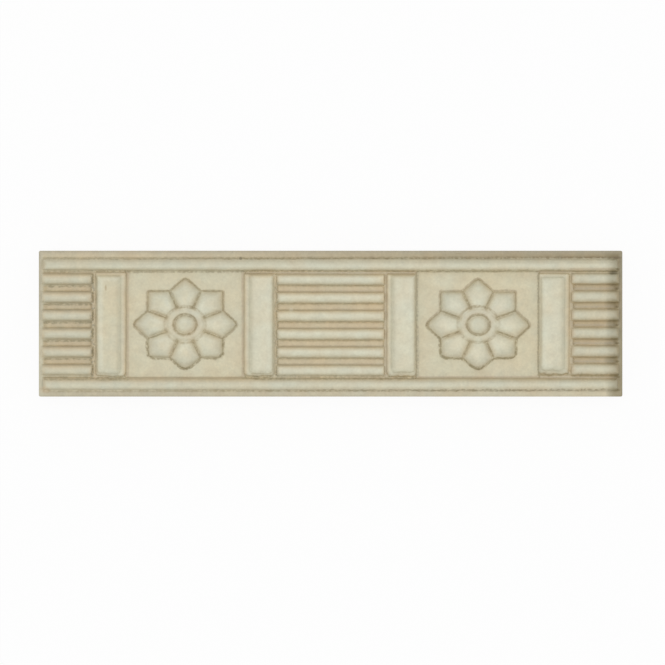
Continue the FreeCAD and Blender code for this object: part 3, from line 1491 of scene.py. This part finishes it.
@dataclass(frozen=True)
class SatinGlaze:
    """A cream satin glaze over buff earthenware, fired matt enough that it shows no sharp highlight.

    It is pale and a little green where it lies thinly on the crests, tan on the slopes, and stained brown
    where it pooled at the foot of the forms. On their lower sides it crawled, and broke into dark grains. The
    sides of the tile carry it part of the way down, and the back is bare clay. Shade is painted on the
    crawled lower slopes, and painted highlights and shade lie on the rails, bars and petals.
    """

    ground: str = "#D1CAB0"
    pool: tuple[str, str] = ("#CFC1A3", "#C8B99A")
    crest: str = "#D4D1BC"
    plateau: tuple[str, str] = ("#D0CAB1", "#D6D2BC")
    tan: str = "#CDC0A3"
    # Painted shade on the crawled lower slopes of the forms
    grey: str = "#CBC3AA"
    crisp_line: str = "#C3B79E"
    crawled_line: str = "#AAA083"
    grain_line: str = "#96907C"
    margin_line: str = "#877857"
    top_margin: tuple[str, str] = ("#C9BDA1", "#9D8F70")
    low_margin: tuple[str, str] = ("#BEB69F", "#CEC6AE")
    end_olive: str = "#CCC5AD"
    arris: str = "#A9A28F"
    deep_stain: str = "#766943"
    clay: str = "#CFBA9C"
    pink: Triple = (1.0, 0.98, 0.95)
    green: Triple = (0.98, 1.0, 0.985)
    warm: Triple = (1.0, 0.975, 0.93)
    cool: Triple = (0.97, 0.985, 1.0)
    dark: Triple = (0.945, 0.945, 0.945)
    pale: Triple = (1.045, 1.045, 1.045)
    # Tints for how much paler or darker a point is painted, for glaze tone and as painted highlight and shade
    dark_tone_and_shade: Triple = (0.83, 0.805, 0.765)
    pale_tone_and_highlight: Triple = (1.18, 1.19, 1.20)
    stain_depth: float = 0.85
    stain_drift: float = 2.5
    glaze_end_drift: float = 3.0
    roughness: float = 0.42
    clay_roughness: float = 0.88
    bump: float = 0.03
    ior: float = 1.5
    mark_fade: Pair = (1.5, 0.5)
    # The name of each noise, its size in millimetres and its detail. The glaze's own grain is too fine to
    # show, so the finest noise is drawn as coarse as it needs to show
    noises: tuple[tuple[str, float, float], ...] = (
        ("ragged", 1.3, 3), ("grains", 0.42, 2), ("fine", 0.6, 3), ("dots", 0.85, 1), ("blotch", 2.2, 2),
        ("drift", 4.5, 2), ("cloud", 9.0, 3))
    marks: tuple[Mark, ...] = (
        Mark((-58.4, 9.3), (0.25, 0.7), "#A8956F", 0.6), Mark((-23.4, 17.0), (0.4, 0.4), "#6E6450", 0.7),
        Mark((-10.3, 3.6), (0.5, 0.5), "#DCD6C4", 0.6), Mark((-74.4, -17.2), (1.3, 0.9), "#C09A6A", 0.25),
        Mark((73.6, 13.2), (1.2, 0.45), "#5A5038", 0.45), Mark((74.4, 17.2), (1.2, 0.35), "#6B5A3A", 0.6),
        Mark((29.0, 11.4), (3.6, 1.5), "#D3D0BA", 0.55))

    def ramps(self) -> dict[str, Ramp]:
        """Lists the shares that follow where a point lies, in millimetres, or a noise.

        Returns:
            How each share follows it, by the name of the share.
        """
        return {
            "reach": Ramp("crawl", -1, 1, 0.12, 0.4),
            "crawled": Ramp("crawl", -0.3, 0.5),
            "rightward": Ramp("x", -50, 70),
            "far_right": Ramp("x", 30, 60),
            "past_first_bar": Ramp("x", -50, -25),
            "upper": Ramp("y", -5, 5),
            "on_margin": Ramp("margin", -0.1, 0.15),
            "on_form": Ramp("edge", 0.06, -0.08),
            "on_slope": Ramp("edge", -1.3, -0.2),
            "on_crawled_slope": Ramp("edge", -1.0, -0.1),
            "on_plateau": Ramp("rim", -1.6, -2.4),
            "line_crawled": Ramp("line_crawl", -0.3, 0.5),
            "line_grainy": Ramp("line_crawl", 1.0, 1.8),
            "line_bend": Ramp("line_crawled", 0, 1, 0.5, 1.4),
            "on_line": Ramp("from_line", 1.05, 0.3, curve="SMOOTHSTEP"),
            "grain": Ramp("dots", 0.36, 0.60, 0.2, 1.25),
            "speck": Ramp("fine", 0.42, 0.56, 0.3, 1.6),
            "near_margin": Ramp("margin", -0.7, -0.3),
            "at_left_end": Ramp("x", -74.6, -75.1, 0, 0.8),
            "at_right_end": Ramp("drifted_x", 72.5, 75.1, 0, 0.9),
            "low_lying": Ramp("edge", -0.9, 0.1, 0.55, 0.85),
            "at_arris": Ramp("inland", 1.2, 0.3, 0, 0.6),
            "bare": Ramp("drifted_level", 6.1, 5.7, curve="SMOOTHSTEP"),
            "surface": Ramp("bare", 0, 1, self.roughness, self.clay_roughness),
            "drifts": Ramp("drift", 0.3, 0.7),
            "clouds": Ramp("cloud", 0.3, 0.7),
            "specks": Ramp("fine", 0.3, 0.7),
            "blotches": Ramp("blotch", 0.3, 0.7),
            "tone_and_painted_light": Ramp("pale_tone_and_highlight", -2, 2)}

    def build(self) -> bpy.types.Material:
        """Makes the material.

        Returns:
            The glaze.
        """
        material = bpy.data.materials.new("satin_cream_glaze")
        material.use_nodes = True
        material.node_tree.nodes.clear()
        recipe = Recipe(material.node_tree, self.ramps())
        self.read_surface(recipe)
        colour = self.ground
        layers = self.slopes(recipe) + self.line(recipe) + self.ends(recipe) + self.flaws(recipe)
        for amount, shade in layers:
            recipe.add("colour", "Mix", {0: amount, 6: colour, 7: shade}, 2, data_type="RGBA")
            colour = "colour"
        self.mottle(recipe)
        recipe.add("skin", "Mix", {0: "bare", 6: "mottled", 7: self.clay}, 2, data_type="RGBA")
        recipe.add("height", "Math", {0: "grains", 1: "fine"}, operation="ADD")
        recipe.add("bumps", "Bump", {"Height": "height", "Distance": self.bump * MM, "Strength": 1.0})
        recipe.add("shader", "BsdfPrincipled", {"Base Color": "skin", "Roughness": "surface", "IOR": self.ior,
                                                "Normal": "bumps"})
        recipe.add("out", "OutputMaterial", {"Surface": "shader"})
        return material

    def read_surface(self, recipe: Recipe) -> None:
        """Reads where a point lies in the pattern and on the tile, in millimetres, and the noises there.

        Args:
            recipe: The material.
        """
        for name in FIELDS:
            recipe.add(name, "Attribute", None, "Fac", attribute_name=name)
        recipe.add("place_in_metres", "TexCoord", None, "Object")
        recipe.add("place", "VectorMath", {0: "place_in_metres", 1: (1 / MM,) * 3}, operation="MULTIPLY")
        for axis in "XYZ":
            recipe.add(axis.lower(), "SeparateXYZ", {0: "place"}, axis)
        for name, size, detail in self.noises:
            recipe.add(name, "TexNoise", {"Vector": "place", "Scale": 1 / size, "Detail": detail})
        recipe.add("jag", "Math", {0: "ragged", 1: 0.5}, operation="SUBTRACT")
        for name, noise, strength, value in (
                ("edge", "jag", "reach", "rim"), ("from_line", "jag", "line_bend", "line"),
                ("drifted_x", "drift", self.stain_drift, "x"),
                ("drifted_level", "drift", self.glaze_end_drift, "z")):
            recipe.add(name, "Math", {0: noise, 1: strength, 2: value}, operation="MULTIPLY_ADD")

    def slopes(self, recipe: Recipe) -> list[tuple[str, str]]:
        """Colours the pools, the margin, the crests, the slopes and the plateaus, with painted shade on the
        crawled lower slopes.

        Args:
            recipe: The material.

        Returns:
            Each as a share and a colour.
        """
        for name, across, (low, high) in (("pool_colour", "far_right", self.pool),
                                          ("top_margin", "rightward", self.top_margin),
                                          ("low_margin", "rightward", self.low_margin),
                                          ("margin_colour", "upper", ("low_margin", "top_margin")),
                                          ("plateau", "past_first_bar", self.plateau)):
            recipe.add(name, "Mix", {0: across, 6: low, 7: high}, 2, data_type="RGBA")
        recipe.add("crisp", "Math", {0: 1.0, 1: "crawled"}, operation="SUBTRACT")
        # The grey on the crawled lower slopes is painted shade
        for name, slope, feel in (("tan_slope", "on_slope", "crisp"),
                                  ("painted_lower_slope_shade", "on_crawled_slope", "crawled")):
            recipe.add("slope", "Math", {0: slope, 1: feel}, operation="MULTIPLY")
            recipe.add(name, "Math", {0: "slope", 1: "on_form"}, operation="MULTIPLY")
        return [("pool", "pool_colour"), ("on_margin", "margin_colour"), ("on_form", self.crest),
                ("tan_slope", self.tan), ("painted_lower_slope_shade", self.grey), ("on_plateau", "plateau")]

    def line(self, recipe: Recipe) -> list[tuple[str, str]]:
        """Draws the brown lines at the foot of the forms, unbroken or in grains or specks.

        Args:
            recipe: The material.

        Returns:
            Their share and their colour.
        """
        for name, amount, low, high in (("grained", "line_grainy", "grain", "speck"),
                                        ("broken", "line_crawled", 1.0, "grained")):
            recipe.add(name, "Mix", {0: amount, 2: low, 3: high})
        recipe.add("whole_line", "Math", {0: "on_line", 1: "broken"}, operation="MULTIPLY")
        recipe.add("line_share", "Math", {0: "whole_line", 1: "stain"}, operation="MULTIPLY", use_clamp=True)
        recipe.add("outer", "Math", {0: "near_margin", 1: "rightward"}, operation="MULTIPLY")
        colour = self.crisp_line
        for amount, shade in (("line_crawled", self.crawled_line), ("line_grainy", self.grain_line),
                              ("outer", self.margin_line)):
            recipe.add("line_colour", "Mix", {0: amount, 6: colour, 7: shade}, 2, data_type="RGBA")
            colour = "line_colour"
        return [("line_share", "line_colour")]

    def ends(self, recipe: Recipe) -> list[tuple[str, str]]:
        """Draws the glaze at the outline: an olive left end, a stained right end, a grey upper arris.

        Args:
            recipe: The material.

        Returns:
            Each as a share and a colour.
        """
        for name, first, second in (("wet_end", "at_right_end", "low_lying"),
                                    ("stained_end", "wet_end", self.stain_depth),
                                    ("upper_arris", "at_arris", "upper")):
            recipe.add(name, "Math", {0: first, 1: second}, operation="MULTIPLY")
        return [("at_left_end", self.end_olive), ("stained_end", self.deep_stain),
                ("upper_arris", self.arris)]

    def flaws(self, recipe: Recipe) -> list[tuple[str, str]]:
        """Draws the small flaws.

        Args:
            recipe: The material.

        Returns:
            Each as a share and a colour.
        """
        made = []
        for number, mark in enumerate(self.marks):
            name, local, away = (word + str(number) for word in ("mark", "mark_place", "mark_distance"))
            scale = [1 / size for size in mark.size]
            offset = [-place * by for place, by in zip(mark.place, scale)]
            recipe.add(local, "VectorMath", {0: "place", 1: (*scale, 0), 2: (*offset, 0)},
                       operation="MULTIPLY_ADD")
            recipe.add(away, "VectorMath", {0: local}, "Value", operation="LENGTH")
            recipe.ramps[name] = Ramp(away, *self.mark_fade, 0, mark.strength, "SMOOTHSTEP")
            made.append((name, mark.colour))
        return made

    def mottle(self, recipe: Recipe) -> None:
        """Mottles the colour: paler and darker in specks, pinker and greener in drifts, and paler and darker
        by glaze tone and painted highlight and shade.

        Args:
            recipe: The material.
        """
        colour = "colour"
        # The last tint carries the glaze tone and the painted highlights and shade of the forms
        for amount, low, high in (("drifts", self.pink, self.green), ("clouds", self.warm, self.cool),
                                  ("specks", self.dark, self.pale), ("blotches", self.dark, self.pale),
                                  ("tone_and_painted_light", self.dark_tone_and_shade, self.pale_tone_and_highlight)):
            recipe.add("tint", "Mix", {0: amount, 6: (*low, 1.0), 7: (*high, 1.0)}, 2, data_type="RGBA")
            recipe.add("mottled", "Mix", {0: 1.0, 6: colour, 7: "tint"}, 2, data_type="RGBA",
                       blend_type="MULTIPLY")
            colour = "mottled"


@dataclass
class Studio:
    """The plain pale floor, the soft light and the camera that looks straight down."""

    frame_width: float = 173.20
    framed_level: float = 7.3
    aim: Pair = (0.49, -2.30)
    lens: float = 150.0
    sensor: float = 36.0
    room_light: float = 0.73
    lamp_place: Triple = (-0.05, 0.12, 1.0)
    lamp_size: float = 0.6
    lamp_power: float = 2.4
    floor_size: float = 6.0
    floor_grey: float = 0.9
    floor_glow: float = 0.92

    def recipe(self, owner: bpy.types.ID) -> Recipe:
        """An empty recipe for a material or a world, which knows whether the camera sees a point itself.

        Args:
            owner: The material or the world.

        Returns:
            The recipe. Its result "seen" is one where the camera sees the point itself, in a gloss or through
            glass, and nothing where light only bounces.
        """
        owner.use_nodes = True
        owner.node_tree.nodes.clear()
        made = Recipe(owner.node_tree)
        for kind in ("Camera", "Glossy", "Transmission"):
            made.add(kind, "LightPath", None, f"Is {kind} Ray")
        made.add("seen_or_in_gloss", "Math", {0: "Camera", 1: "Glossy"}, operation="MAXIMUM")
        made.add("seen", "Math", {0: "seen_or_in_gloss", 1: "Transmission"}, operation="MAXIMUM")
        return made

    def floor(self) -> None:
        """Lays the white floor."""
        deselect_all()
        bpy.ops.mesh.primitive_plane_add(size=self.floor_size, location=NOWHERE)
        piece = bpy.context.object
        piece.name = "floor"
        # A matt white board, which shows the tile's soft shadow and no gloss
        material = bpy.data.materials.new("matt_white_board")
        recipe = self.recipe(material)
        recipe.add("lit", "BsdfDiffuse", {"Color": (*(self.floor_grey,) * 3, 1)})
        recipe.add("glow", "Emission", {"Color": WHITE, "Strength": 1.0})
        recipe.add("glowing", "Math", {0: "seen", 1: self.floor_glow}, operation="MULTIPLY")
        recipe.add("board", "MixShader", {0: "glowing", 1: "lit", 2: "glow"})
        recipe.add("out", "OutputMaterial", {"Surface": "board"})
        piece.data.materials.append(material)

    def room(self) -> None:
        """Makes the even white room."""
        world = bpy.data.worlds.new("white_room")
        bpy.context.scene.world = world
        recipe = self.recipe(world)
        for name, strength in (("soft", self.room_light), ("white", 1.0)):
            recipe.add(name, "Background", {"Color": WHITE, "Strength": strength})
        recipe.add("room", "MixShader", {0: "seen", 1: "soft", 2: "white"})
        recipe.add("out", "OutputWorld", {"Surface": "room"})

    def lamp(self) -> None:
        """Hangs one large soft lamp over the tile, a little beyond its upper edge."""
        deselect_all()
        bpy.ops.object.light_add(type="AREA", location=self.lamp_place)
        lamp = bpy.context.object
        lamp.data.shape = "SQUARE"
        lamp.data.size = self.lamp_size
        lamp.data.energy = self.lamp_power
        lamp.rotation_euler = (-lamp.location).to_track_quat("-Z", "Y").to_euler()

    def camera(self) -> None:
        """Sets the camera over the tile, with the tile's upper edge towards the top of the picture."""
        distance = self.frame_width * self.lens / self.sensor + self.framed_level
        deselect_all()
        bpy.ops.object.camera_add(location=[place * MM for place in (*self.aim, distance)], rotation=NOWHERE)
        camera = bpy.context.object
        camera.data.lens = self.lens
        camera.data.sensor_width = self.sensor
        camera.data.sensor_fit = "HORIZONTAL"
        bpy.context.scene.camera = camera

    def build(self) -> None:
        """Sets up the whole studio."""
        self.floor()
        self.room()
        self.lamp()
        self.camera()
        bpy.context.scene.view_settings.view_transform = "Standard"


def main() -> None:
    """Builds the tile and its studio, and reports what was made."""
    logging.basicConfig(level=logging.INFO, format="%(name)s: %(message)s")
    low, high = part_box(CAD_NODE)
    size = (high - low) / MM
    Studio().build()
    tile = Tile(Plan(size.x, size.y)).build()
    tile.data.materials.clear()
    tile.data.materials.append(SatinGlaze().build())
    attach(tile, "root")
    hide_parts(CAD_NODE)
    log.info("%s: %d faces", tile.name, len(tile.data.polygons))


if __name__ == "__main__":
    main()
